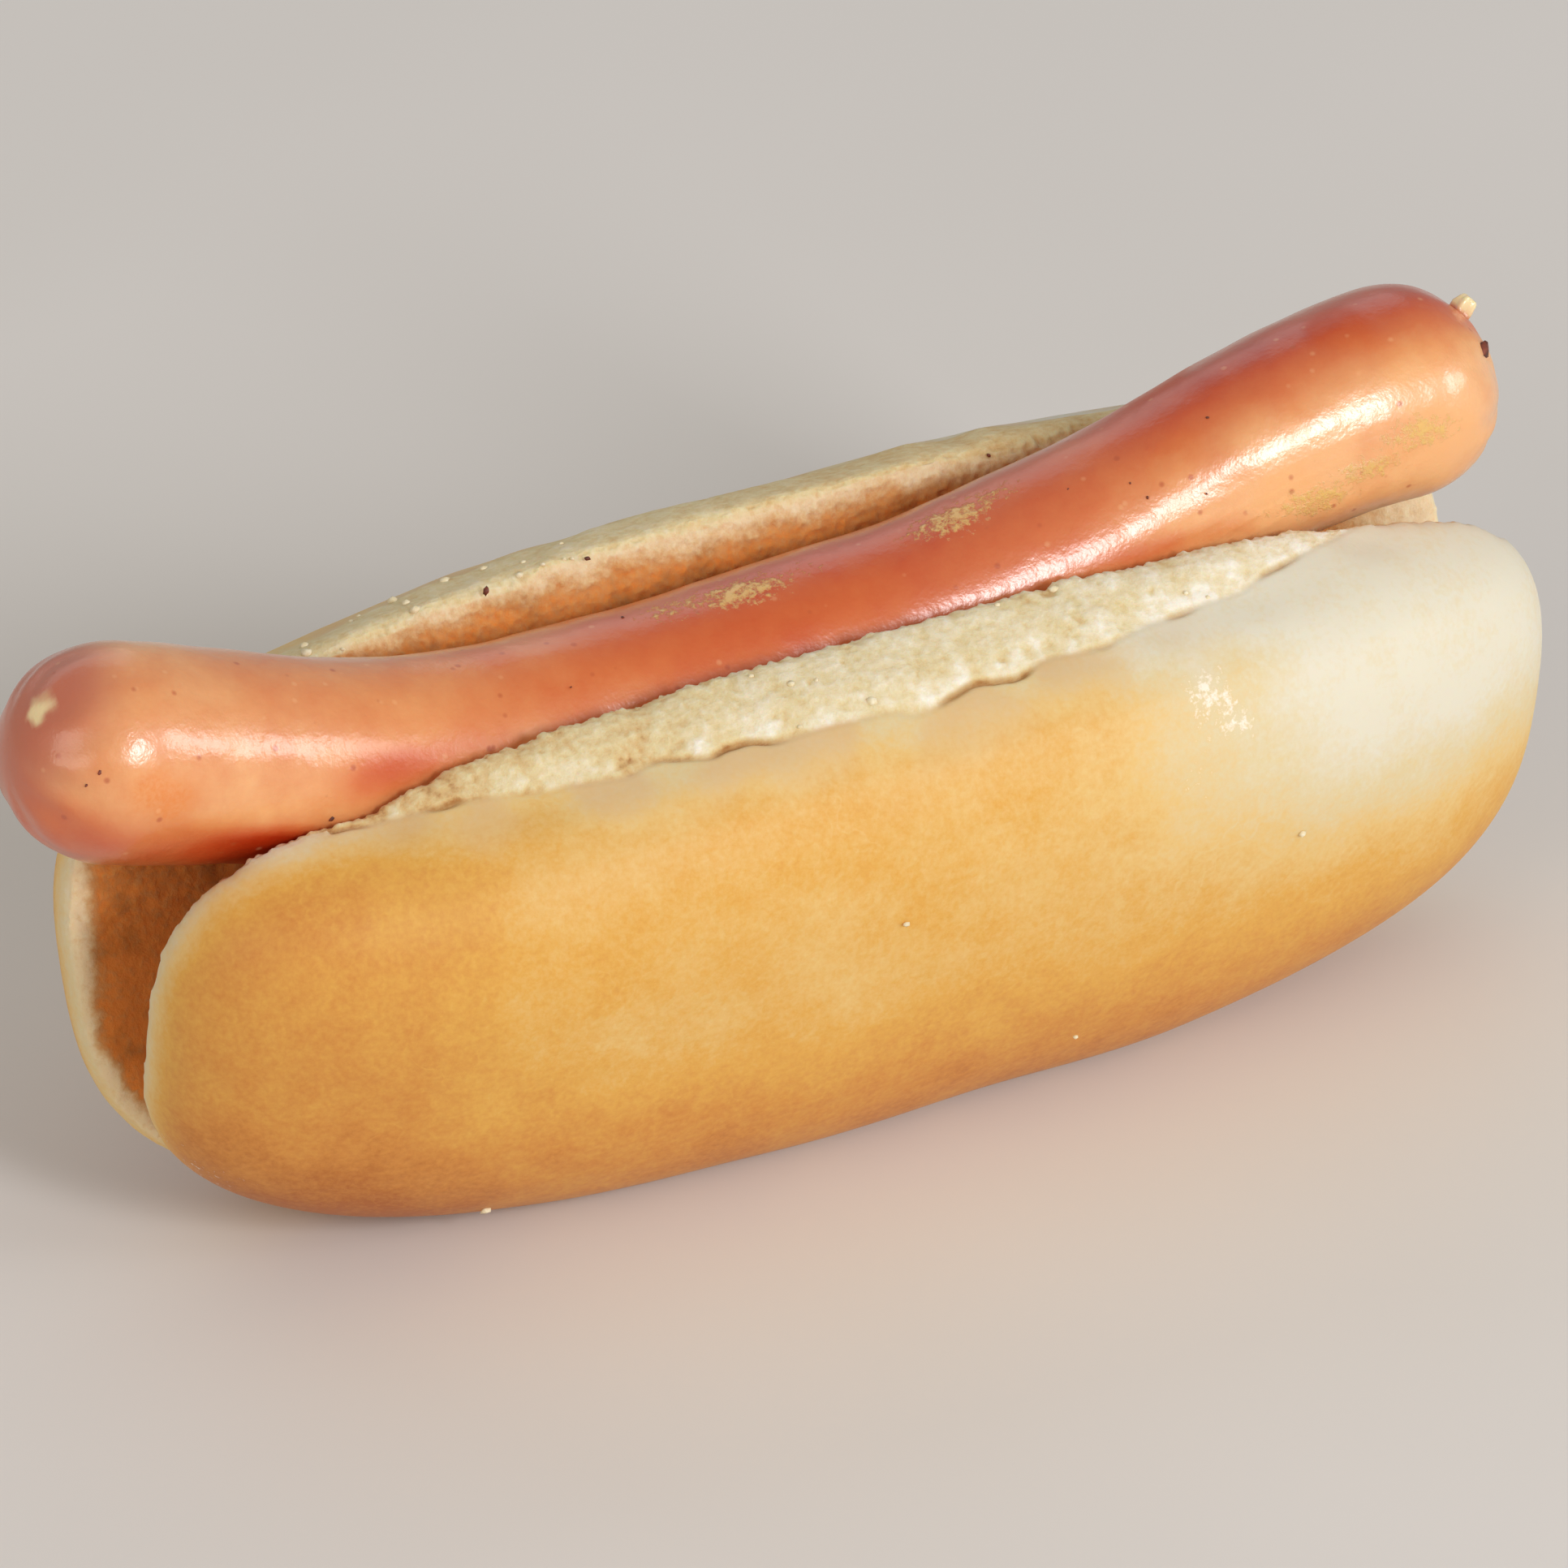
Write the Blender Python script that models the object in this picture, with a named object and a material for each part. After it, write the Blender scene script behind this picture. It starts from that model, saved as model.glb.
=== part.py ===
"""Hot dog: a plump sausage lying in a soft roll that stands on its uncut spine.

X runs along the roll, Y across the cut from the fuller near half to the far half, Z up.
The origin is on the surface it stands on, under the middle of the whole. Units are metres.
"""
import math

import bmesh
import bpy
from mathutils import Matrix, Vector, noise

# Roll: two halves that open like a book about the bottom of the cut.
NEAR_DEPTH = 0.0438             # from the bottom of the cut up to each lip, at mid length
FAR_DEPTH = 0.0463
SPINE = 0.0095                  # uncut crumb left below the cut, before it is pressed flat
NEAR_THICKNESS = 0.0210         # from the cut face out to the fullest point of the crust
FAR_THICKNESS = 0.0195
LIP_BOW = 0.0025                # how much lower the lips are near the ends
NEAR_LENGTH = 0.1392
FAR_LENGTH = 0.1422
NEAR_X = 0.0010                 # how far each half is shifted along the roll
FAR_X = -0.0012
LEFT_LIP_CORNER = 3.6           # superellipse powers of the ends, more is squarer
RIGHT_LIP_CORNER = 4.8
LOWER_CORNER = 2.9
SIDE_CORNER = 2.7
NEAR_LEAN = math.radians(12.5)  # how far each half leans outwards
FAR_LEAN = math.radians(16)
FLAT_REST = 0.0022              # how much of the underside is pressed flat
CRUST_WAVE = 0.0005             # slow dents of the crust

# Torn side of each half, where it was pulled off its neighbour after baking.
TORN_WIDTH = 0.0108             # across the lip, at the widest
TORN_REACH = 0.78               # share of the half length where the crumb shows
TORN_DIP = 0.0009               # depth of the groove where crust meets crumb
TORN_ROUGHNESS = 0.0006
CUT_ROUGHNESS = 0.00025

# Sausage: a bent link with fuller, round ends and the knot of its casing at one of them.
SAUSAGE_RADIUS = 0.0092
END_SWELL = 0.00106
SAUSAGE_HALF_SPAN = 0.0747
SAUSAGE_X = -0.0046             # it lies towards one end of the roll
SAUSAGE_Y = 0.0012              # middle of the sausage from the plane of the hinge
AXIS_HEIGHTS = (0.0575, 0.0512, 0.0455, 0.0438, 0.0442, 0.0455, 0.0491, 0.0541, 0.0547)
SAUSAGE_GAP = 0.0004            # clearance in the groove that it presses into the crumb
KNOT_RADIUS = 0.0012
KNOT_LENGTH = 0.0040
KNOT_PITCH = math.radians(42)   # how steeply the knot points up from the end

RINGS_ALONG = 54
POINTS_AROUND = 36
SAUSAGE_SIDES = 28
SAUSAGE_RINGS = 40


def clear_scene():
    for obj in list(bpy.data.objects):
        bpy.data.objects.remove(obj, do_unlink=True)


def new_collection(name):
    group = bpy.data.collections.new(name)
    bpy.context.scene.collection.children.link(group)
    return group


def material(name, colour, roughness):
    made = bpy.data.materials.new(name)
    made.use_nodes = True
    shader = made.node_tree.nodes["Principled BSDF"]
    shader.inputs["Base Color"].default_value = (*colour, 1.0)
    shader.inputs["Roughness"].default_value = roughness
    shader.inputs["Metallic"].default_value = 0.0
    return made


def object_from(shape, name, group, finish):
    mesh = bpy.data.meshes.new(name)
    shape.to_mesh(mesh)
    shape.free()
    mesh.materials.append(finish)
    mesh.shade_smooth()
    obj = bpy.data.objects.new(name, mesh)
    group.objects.link(obj)
    return obj


def ball_along_x(sides, rings):
    """A unit ball whose poles lie on the X axis."""
    shape = bmesh.new()
    bmesh.ops.create_uvsphere(shape, u_segments=sides, v_segments=rings, radius=1.0)
    bmesh.ops.rotate(shape, verts=shape.verts, matrix=Matrix.Rotation(math.pi / 2, 3, "Y"))
    return shape


def rounded(share, power):
    """Height of a superellipse of that power at a share of its half length."""
    return max(0.0, 1.0 - abs(share) ** power) ** (1.0 / power)


def radial(cosine, sine, power):
    """Scale that turns a point of a circle into one of a superellipse."""
    return (abs(cosine) ** power + abs(sine) ** power) ** (-1.0 / power)


def torn_edge(share, length):
    """Width of the torn crumb at a share of the half length, uneven like pulled bread."""
    inside = 1.0 - (share / TORN_REACH) ** 2
    if inside <= 0.0:
        return 0.0
    wander = noise.noise(Vector((share * length * 90.0, 3.7, length * 50.0)))
    return TORN_WIDTH * inside ** 0.65 * (0.95 + 0.25 * wander)


def half_roll(name, length, centre_x, depth, thickness, side, lean, group, finish):
    """One half, flat on the cut and domed behind. Side is -1 for the near one, 1 for the far one."""
    shape = ball_along_x(POINTS_AROUND, RINGS_ALONG)
    middle = (depth - SPINE) / 2
    reach = (depth + SPINE) / 2
    turn = Matrix.Rotation(-side * lean, 3, "X")
    for vert in shape.verts:
        share, across, up = vert.co
        ring = math.hypot(across, up)
        cosine, sine = (up / ring, across / ring) if ring > 1e-6 else (1.0, 0.0)
        power = 3.2 if cosine > 0 else 2.5
        scale = radial(cosine, sine, power)
        on_cut = sine < 1e-6
        height = 1.0 - 2.0 * math.acos(max(-1.0, min(1.0, cosine))) / math.pi if on_cut else cosine * scale
        width = 0.0 if on_cut else sine * scale
        lip_corner = LEFT_LIP_CORNER if share < 0 else RIGHT_LIP_CORNER
        end = rounded(share, lip_corner if height > 0 else LOWER_CORNER)
        x = share * length / 2
        t = middle + reach * height * end
        n = thickness * width * rounded(share, SIDE_CORNER)
        if height > 0:
            t -= LIP_BOW * (share / 0.85) ** 2 * height * end
        if width > 0.0 and ring > 1e-6:
            facing = Vector((width ** (power - 1) / thickness, height * abs(height) ** (power - 2) / reach))
            facing.normalize()
            push = CRUST_WAVE * noise.noise(Vector((x * 55, n * 55, 9.3 + t * 55))) * end
            edge = torn_edge(share, length)
            if cosine > 0.5 and edge > 0.0:
                fade = min(1.0, edge / 0.003)
                push -= TORN_DIP * fade * math.exp(-((n - edge) / 0.0013) ** 2)
                if n < edge:
                    push += TORN_ROUGHNESS * fade * noise.noise(Vector((x * 260, n * 260, 7.1 * side)))
            n = max(0.0, n + facing.x * push)
            t += facing.y * push
        elif ring > 1e-6 and t > 0.0:
            n = CUT_ROUGHNESS * noise.noise(Vector((x * 300, t * 300, 2.3 * side)))
        vert.co = turn @ Vector((x, side * n, t)) + Vector((centre_x, 0, SPINE))
    if side < 0:
        bmesh.ops.reverse_faces(shape, faces=shape.faces)
    return object_from(shape, name, group, finish)


def join(target, tool, operation):
    """Applies one Boolean to target and removes the tool."""
    step = target.modifiers.new("join", "BOOLEAN")
    step.operation = operation
    step.solver = "EXACT"
    step.object = tool
    graph = bpy.context.evaluated_depsgraph_get()
    made = bpy.data.meshes.new_from_object(target.evaluated_get(graph))
    target.modifiers.clear()
    target.data = made
    bpy.data.objects.remove(tool, do_unlink=True)


def sausage_axis(share):
    """A point of the sausage's axis, smooth through the evenly spaced AXIS_HEIGHTS."""
    last = len(AXIS_HEIGHTS) - 1
    along = (share + 1.0) / 2 * last
    i = max(0, min(last - 1, int(along)))
    f = along - i
    a, b = AXIS_HEIGHTS[i], AXIS_HEIGHTS[i + 1]
    slope_a = (b - AXIS_HEIGHTS[i - 1]) / 2 if i > 0 else b - a
    slope_b = (AXIS_HEIGHTS[i + 2] - a) / 2 if i + 2 <= last else b - a
    bend = f * (1 - f) * ((1 - f) * (slope_a - b + a) - f * (slope_b - b + a))
    return Vector((SAUSAGE_X + share * SAUSAGE_HALF_SPAN, SAUSAGE_Y, a + (b - a) * f + bend))


def sausage(name, extra, group, finish):
    """The link without its knot, thickened by extra all round."""
    shape = ball_along_x(SAUSAGE_SIDES, SAUSAGE_RINGS)
    cap = (SAUSAGE_RADIUS + END_SWELL) / SAUSAGE_HALF_SPAN
    inner = 1.0 - cap
    for vert in shape.verts:
        share, across, up = vert.co
        ring = math.hypot(across, up)
        cosine, sine = (up / ring, across / ring) if ring > 1e-6 else (1.0, 0.0)
        swell = SAUSAGE_RADIUS + END_SWELL * math.sin(abs(share) * math.pi / 2) ** 10
        past = max(0.0, (abs(share) - inner) / cap)
        radius = swell * math.sqrt(max(0.0, 1.0 - past ** 2)) + extra * min(1.0, ring * 6)
        place = sausage_axis(share * (1.0 + extra / SAUSAGE_HALF_SPAN))
        ahead = sausage_axis(share + 0.01) - sausage_axis(share - 0.01)
        ahead.normalize()
        above = Vector((-ahead.z, 0.0, ahead.x))
        vert.co = place + Vector((0, sine * radius, 0)) + above * cosine * radius
    return object_from(shape, name, group, finish)


def casing_knot(group, finish):
    """The gathered end of the casing, a small cone that widens outwards, at the right end."""
    shape = bmesh.new()
    bmesh.ops.create_cone(
        shape, cap_ends=True, segments=12, radius1=KNOT_RADIUS * 0.75, radius2=KNOT_RADIUS, depth=KNOT_LENGTH,
    )
    bmesh.ops.bevel(
        shape, geom=[edge for edge in shape.edges if edge.calc_face_angle(0) > 1.0],
        offset=KNOT_RADIUS * 0.3, segments=2, profile=0.5, affect="EDGES", material=-1,
    )
    end_radius = SAUSAGE_RADIUS + END_SWELL
    centre = sausage_axis(1.0 - end_radius / SAUSAGE_HALF_SPAN)
    aim = Vector((math.cos(KNOT_PITCH), 0.0, math.sin(KNOT_PITCH)))
    turn = Matrix.Rotation(math.pi / 2 - KNOT_PITCH, 3, "Y")
    for vert in shape.verts:
        vert.co = centre + aim * (end_radius - 0.2 * KNOT_LENGTH + 0.25 * KNOT_LENGTH) + turn @ vert.co
    return object_from(shape, "casing_knot", group, finish)


def flatten_base(obj):
    """Presses the lowest part of the roll flat, as its own weight does."""
    lowest = min(vert.co.z for vert in obj.data.vertices)
    for vert in obj.data.vertices:
        if vert.co.z < lowest + FLAT_REST:
            vert.co.z = lowest + FLAT_REST


def centre_on_surface(objects):
    """Moves everything so that the origin is under the middle, on the surface."""
    points = [vert.co for obj in objects for vert in obj.data.vertices]
    low = Vector([min(point[i] for point in points) for i in range(3)])
    high = Vector([max(point[i] for point in points) for i in range(3)])
    shift = Vector((-(low.x + high.x) / 2, -(low.y + high.y) / 2, -low.z))
    for obj in objects:
        obj.data.transform(Matrix.Translation(shift))


def main():
    clear_scene()
    group = new_collection("hot_dog")
    crust = material("baked_crust", (0.80, 0.42, 0.12), 0.6)
    skin = material("sausage_skin", (0.70, 0.20, 0.07), 0.3)
    roll = half_roll("bun", NEAR_LENGTH, NEAR_X, NEAR_DEPTH, NEAR_THICKNESS, -1, NEAR_LEAN, group, crust)
    far = half_roll("far_half", FAR_LENGTH, FAR_X, FAR_DEPTH, FAR_THICKNESS, 1, FAR_LEAN, group, crust)
    join(roll, far, "UNION")
    groove = sausage("groove", SAUSAGE_GAP, group, skin)
    join(roll, groove, "DIFFERENCE")
    flatten_base(roll)
    link = sausage("sausage", 0.0, group, skin)
    join(link, casing_knot(group, skin), "UNION")
    centre_on_surface([roll, link])


main()
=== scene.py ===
"""Looks of a hot dog: soft roll, glossy sausage and loose crumbs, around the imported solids.

Units are metres. X runs along the roll, Y from the near half to the far half, Z up.
"""
import math
import random

import bmesh
import bpy
from mathutils import Matrix, Vector, noise


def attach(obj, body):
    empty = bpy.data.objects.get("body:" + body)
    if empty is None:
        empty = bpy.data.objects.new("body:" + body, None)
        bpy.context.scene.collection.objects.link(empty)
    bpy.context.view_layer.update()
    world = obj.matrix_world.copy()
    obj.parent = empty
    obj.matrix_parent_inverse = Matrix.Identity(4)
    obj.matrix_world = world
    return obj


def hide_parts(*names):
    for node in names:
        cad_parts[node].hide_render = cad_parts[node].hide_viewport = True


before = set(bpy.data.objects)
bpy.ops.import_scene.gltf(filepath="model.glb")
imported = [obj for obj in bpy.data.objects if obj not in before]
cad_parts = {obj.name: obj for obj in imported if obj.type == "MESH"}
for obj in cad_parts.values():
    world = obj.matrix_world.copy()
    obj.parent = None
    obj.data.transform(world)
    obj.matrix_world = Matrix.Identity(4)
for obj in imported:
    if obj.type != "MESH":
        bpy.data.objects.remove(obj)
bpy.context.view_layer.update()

# The roll: a soft white bread roll, cut open like a book and standing on its uncut spine.
# Its crust is smooth and gold, pale where it touched its neighbours in the tin, and the crumb
# shows on the torn lips and on the two cut faces, which are fuzzy and painted browner deeper in,
# partly the crumb's own browning and partly painted shade inside the cut. The torn crumb has
# painted light on its swells and tufts and painted shade in its holes and along the crease.
HINGE_Y = -0.000364         # bottom line of the cut, which both halves lean away from
HINGE_Z = 0.008142
LEAN = {-1: math.radians(12.5), 1: math.radians(16)}    # near half, far half
CENTRE_X = {-1: 0.00558, 1: 0.00338}
LENGTH = {-1: 0.1392, 1: 0.1422}
LIP_HEIGHT = {-1: 0.0438, 1: 0.0463}        # up the cut, in the middle of the roll
SPINE = 0.0095              # how far each half reaches below the bottom of the cut
LIP_BOW = 0.0025            # how much lower the lips are near the ends
TORN_WIDTH = {-1: 0.0100, 1: 0.0085}        # torn crumb across each lip
TORN_REACH = {-1: (0.88, 0.71), 1: (0.88, 0.88)}        # towards the left end, towards the right
TORN_TAPER = {-1: (1.30, 0.75), 1: (0.65, 0.65)}        # how it narrows, likewise
WELD = 0.00001              # points of the solid closer than this are one
VOXEL = 0.00095             # even mesh size of the crust
SMOOTHINGS = 9              # passes that round away the flat facets of the solid
SWELL = 0.0024              # size of the soft swellings of the torn crumb
SWELL_HEIGHT = {-1: 0.00012, 1: 0.00006}
TUFT = 0.0008               # size of its tufts
TUFT_HEIGHT = {-1: 0.00009, 1: 0.00003}
CRUMB_BULGE = {-1: 0.00042, 1: 0.0}         # how far the torn crumb swells out over the crust
HOLE_SPACING = 0.0026       # gas holes of the torn crumb
HOLE_DEPTH = {-1: 0.00020, 1: 0.0}
PORE = 0.0006               # size of the pores of the cut crumb
CREASE_DEPTH = {-1: 0.0007, 1: 0.00004}     # crack between the crust and the torn crumb
CREASE_WIDTH = 0.00036
PALE_END = {-1: 0.56, 1: 0.34}              # how much less baked the upper right end is
# Past this rim the cut faces are painted brown, partly as shade inside the cut.
CREAM_RIM = {-1: 0.0020, 1: 0.0021}         # pale crumb round the browned part of each cut face
END_CORNERS = (3.6, 4.8, 2.9)               # superellipse powers: left lip, right lip, lower
LEFT_STRETCH = {-1: 0.0018, 1: 0.0}         # how far the near half's left end is drawn out
LEFT_RAISE = {-1: 0.0022, 1: 0.0}           # how far the lip at that end is raised
FRAY = 0.00030              # raggedness of the lip's edge
FLOUR = (                       # dusted places of the crust: middle, size, strength
    ((0.0327, -0.0234, 0.0439), 0.0030, 1.0), ((0.0355, -0.0250, 0.0405), 0.0022, 0.8),
    ((0.0300, -0.0250, 0.0370), 0.0045, 0.6), ((-0.0603, -0.0076, 0.0121), 0.0065, 0.66),
    ((0.010, -0.0260, 0.012), 0.014, 0.25), ((0.046, -0.0245, 0.020), 0.012, 0.25),
)


def linear(code):
    """An sRGB hex colour as linear red, green, blue and alpha."""
    parts = [int(code[i:i + 2], 16) / 255 for i in (1, 3, 5)]
    return [p / 12.92 if p <= 0.04045 else ((p + 0.055) / 1.055) ** 2.4 for p in parts] + [1.0]


def add(tree, kind, inputs=None, **settings):
    """Adds a shader node, sets it up, and sets or links its inputs. stops fill a colour ramp."""
    made = tree.nodes.new("ShaderNode" + kind)
    for name, value in settings.items():
        if name == "stops":
            elements = made.color_ramp.elements
            while len(elements) < len(value):
                elements.new(0.5)
            for element, (place, code) in zip(elements, value):
                element.position = place
                element.color = linear(code)
        else:
            setattr(made, name, value)
    for name, value in (inputs or {}).items():
        if isinstance(value, bpy.types.NodeSocket):
            tree.links.new(value, made.inputs[name])
        else:
            made.inputs[name].default_value = value
    return made


def smoothstep(low, high, value):
    share = max(0.0, min(1.0, (value - low) / (high - low)))
    return share * share * (3 - 2 * share)


def half_place(point):
    """Which half of the roll a point is on, with its distances out from and up the cut."""
    across = point.y - HINGE_Y
    up = point.z - HINGE_Z
    side = -1 if across < 0 else 1
    cosine = math.cos(LEAN[side])
    sine = math.sin(LEAN[side])
    out = side * across * cosine - up * sine
    height = side * across * sine + up * cosine
    return side, out, height


def torn_edge(side, x):
    """How far across the lip the torn crumb reaches, at x along the roll."""
    share = (x - CENTRE_X[side]) / (LENGTH[side] / 2)
    inside = 1.0 - (share / TORN_REACH[side][share > 0]) ** 2
    if inside <= 0.0:
        return 0.0
    slow = noise.noise(Vector((share * LENGTH[side] * 90.0, 3.7, LENGTH[side] * 50.0)))
    quick = noise.fractal(Vector((x * 210, 1.9 * side, 0.4)), 0.9, 2.0, 3)
    width = TORN_WIDTH[side] * inside ** TORN_TAPER[side][share > 0]
    return width * (0.97 + 0.14 * slow) + 0.0003 * quick * min(1.0, inside * 3)


def lip_height(side, x):
    share = (x - CENTRE_X[side]) / (LENGTH[side] / 2)
    return LIP_HEIGHT[side] - LIP_BOW * (share / 0.85) ** 2


def rim_distance(side, x, height):
    """How far a point of the cut face lies inside its rounded outline, seen along the roll and up."""
    middle = (LIP_HEIGHT[side] - SPINE) / 2
    level = max(-1.0, min(1.0, (height - middle) / ((LIP_HEIGHT[side] + SPINE) / 2)))
    along = x - CENTRE_X[side]
    power = END_CORNERS[along > 0] if level > 0 else END_CORNERS[2]
    end = LENGTH[side] / 2 * (1.0 - abs(level) ** power) ** (1.0 / power)
    return min(lip_height(side, x) - height, end - abs(along))


def gas_holes(point):
    """How deep a point lies in one of the scattered gas holes, 0 to 1."""
    bent = point / HOLE_SPACING + 0.25 * noise.noise_vector(point / (0.4 * HOLE_SPACING))
    apart, centres = noise.voronoi(bent)
    size = 0.30 + 0.18 * noise.cell(centres[0] * 7.3)
    return smoothstep(size, 0.0, apart[0]) * (noise.cell(centres[0] * 3.1) > -0.1)


def facings(side, normal):
    """How squarely a face looks into the cut, and how squarely up along it."""
    inward = -side * normal.y * math.cos(LEAN[side]) + normal.z * math.sin(LEAN[side])
    upward = side * normal.y * math.sin(LEAN[side]) + normal.z * math.cos(LEAN[side])
    return inward, upward


bun_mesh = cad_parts["bun"].data.copy()
bun = bpy.data.objects.new("soft_roll", bun_mesh)
bpy.context.scene.collection.objects.link(bun)
shape = bmesh.new()
shape.from_mesh(bun_mesh)
bmesh.ops.remove_doubles(shape, verts=shape.verts, dist=WELD)
shape.to_mesh(bun_mesh)
shape.free()
remesh = bun.modifiers.new("even mesh", "REMESH")
remesh.mode = "VOXEL"
remesh.voxel_size = VOXEL
evaluated = bun.evaluated_get(bpy.context.evaluated_depsgraph_get())
bun_mesh = bpy.data.meshes.new_from_object(evaluated)
bun.modifiers.clear()
bun.data = bun_mesh

shape = bmesh.new()
shape.from_mesh(bun_mesh)
for _ in range(SMOOTHINGS):
    bmesh.ops.smooth_vert(
        shape, verts=shape.verts, factor=0.5, use_axis_x=True, use_axis_y=True, use_axis_z=True,
    )


def crumb_edges(margin):
    """Edges on the lips and, with a margin, on the cut faces above the sausage."""
    found = []
    for edge in shape.edges:
        middle = (edge.verts[0].co + edge.verts[1].co) / 2
        side, out, height = half_place(middle)
        below = lip_height(side, middle.x) - height
        reach = torn_edge(side, middle.x)
        on_lip = -0.002 < out < reach + 0.0022 and below < 0.009
        on_cut = margin > 0 and abs(out) < 0.0016 and 0.004 < height and below < margin
        if (on_lip and reach > 0.0) or on_cut:
            found.append(edge)
    return found


bmesh.ops.subdivide_edges(shape, edges=crumb_edges(0.020), cuts=1, use_grid_fill=True)
bmesh.ops.subdivide_edges(shape, edges=crumb_edges(0.0), cuts=1, use_grid_fill=True)
shape.normal_update()

torn_mask = []
cut_mask = []
cut_brown_and_shade_mask = []
crumb_tone_and_shade_mask = []
crease_shade_mask = []
moved = []
for vert in shape.verts:
    x = vert.co.x
    side, out, height = half_place(vert.co)
    edge = torn_edge(side, x)
    below = lip_height(side, x) - height
    inward, upward = facings(side, vert.normal)
    on_lip = (below < 0.010) * (edge > 0)
    torn = smoothstep(0.0004, -0.0004, out - edge) * smoothstep(0.2, 0.5, upward) * on_lip
    above_hinge = smoothstep(-0.001, 0.002, height)
    cut = smoothstep(0.0018, 0.0010, out) * smoothstep(0.45, 0.75, inward) * above_hinge
    along_tear = Vector((x / SWELL, out / (1.6 * SWELL), height / SWELL))
    swell = noise.fractal(along_tear, 0.9, 2.1, 2)
    tufts = noise.fractal(vert.co / TUFT, 0.8, 2.1, 2)
    fine = noise.noise(vert.co / PORE)
    hole = gas_holes(vert.co) * smoothstep(0.0004, 0.0016, edge - out) * torn
    push = torn * (SWELL_HEIGHT[side] * swell + TUFT_HEIGHT[side] * tufts) - HOLE_DEPTH[side] * hole
    push += torn * CRUMB_BULGE[side] * smoothstep(0.0, 0.0036, edge - out)
    push += cut * 0.00020 * (fine + 0.8 * tufts)
    gap = 0.0
    if edge > 0.0012 and below < 0.012 and out > 0.0:
        deep = smoothstep(-0.12, 0.40, noise.noise(Vector((x * 150, 5.5 * side, 2.0))))
        gap = math.exp(-((out - edge) / CREASE_WIDTH) ** 2) * (0.15 + 0.85 * deep)
        push -= CREASE_DEPTH[side] * gap
    stretch = LEFT_STRETCH[side] * smoothstep(-0.042, -0.064, x)
    raised = LEFT_RAISE[side] * smoothstep(-0.042, -0.060, x) * smoothstep(0.018, 0.036, height)
    frayed = noise.fractal(Vector((x * 420, 4.1, side)), 1.0, 2.0, 3)
    ragged = torn * smoothstep(0.0025, 0.0, abs(out)) * FRAY * frayed
    moved.append(vert.co + vert.normal * push + Vector((-stretch, 0, raised + ragged)))
    torn_mask.append(torn)
    cut_mask.append(cut)
    # Painted shade along the crease between the crust and the torn crumb, on the near half.
    crease_shade_mask.append(gap * (side < 0))
    # The cut faces are painted browner away from their rims and lower down: partly the crumb's own
    # browning, partly painted shade inside the cut.
    rim = rim_distance(side, x, height) + 0.0010 * noise.fractal(vert.co / 0.004, 1.0, 2.0, 3)
    upper = smoothstep(0.018, 0.034, height)
    cream_end = (0.75 - 0.45 * upper) * CREAM_RIM[side]
    brown_start = (1.3 + 0.8 * upper) * CREAM_RIM[side]
    toast = smoothstep(cream_end, brown_start, rim)
    cut_brown_and_shade_mask.append(toast * (1.0 - 0.15 * upper) * smoothstep(0.072, 0.058, x))
    # The crumb's tone: paler to the right and darker to the left, with painted light on the raised swells
    # and tufts and painted shade in the gas holes and along the crease.
    white = smoothstep(0.0035, 0.0008, edge - out) * smoothstep(-0.1, 0.4, swell)
    white += 0.8 * smoothstep(0.02, 0.05, x)
    white -= 1.6 * smoothstep(0.0, -0.045, x)
    pale = 0.63 + 0.20 * swell + 0.14 * tufts + 0.22 * white - 0.40 * hole - 0.7 * gap
    if side > 0:
        pale = 0.52 - 0.14 * smoothstep(-0.02, 0.03, x) + 0.12 * swell + 0.08 * tufts
    crumb_tone_and_shade_mask.append(max(0.0, min(1.0, pale)))

bake_mask = []
bare_mask = []
flour_mask = []
for vert, new_place in zip(shape.verts, moved):
    side, out, height = half_place(vert.co)
    x = vert.co.x
    z = vert.co.z
    along = x - CENTRE_X[side]
    edge = torn_edge(side, x)
    from_crease = max(0.0, out - edge) + max(0.0, lip_height(side, x) - height - 0.001)
    bake = 0.53 - 0.4 * along + 0.19 * smoothstep(-0.030, -0.066, along)
    bake += 0.30 * smoothstep(0.026, 0.003, z)
    bake -= PALE_END[side] * smoothstep(0.006, 0.050, along) * smoothstep(0.018, 0.038, z)
    blend = 0.0060 + 0.0030 * noise.noise(vert.co * 110) + 0.0012 * noise.noise(vert.co * 420)
    by_crease = math.exp(-(from_crease / blend) ** 2)
    bake -= 0.26 * by_crease
    bake -= 0.60 * math.exp(-(max(0.0, out) / 0.0040) ** 2) * smoothstep(0.040, 0.062, abs(along))
    bake_mask.append(max(0.0, min(1.0, bake)))
    patchy = smoothstep(-0.35, 0.25, noise.noise(vert.co * 160))
    middle = smoothstep(0.040, 0.018, x) * smoothstep(-0.056, -0.036, x)
    bare_mask.append(by_crease * patchy * (middle if side < 0 else 1.0))
    dusted = 0.0
    for spot, size, strength in FLOUR:
        dusted += strength * math.exp(-((vert.co - Vector(spot)).length / size) ** 2)
    flour_mask.append(min(1.0, dusted))
    vert.co = new_place
shape.to_mesh(bun_mesh)
shape.free()
masks = {"torn": torn_mask, "cut": cut_mask, "toast": cut_brown_and_shade_mask, "crumb": crumb_tone_and_shade_mask}
masks.update({"bake": bake_mask, "bare": bare_mask, "flour": flour_mask, "crack": crease_shade_mask})
for name, values in masks.items():
    bun_mesh.attributes.new(name, "FLOAT", "POINT").data.foreach_set("value", values)
for polygon in bun_mesh.polygons:
    polygon.use_smooth = True

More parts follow.
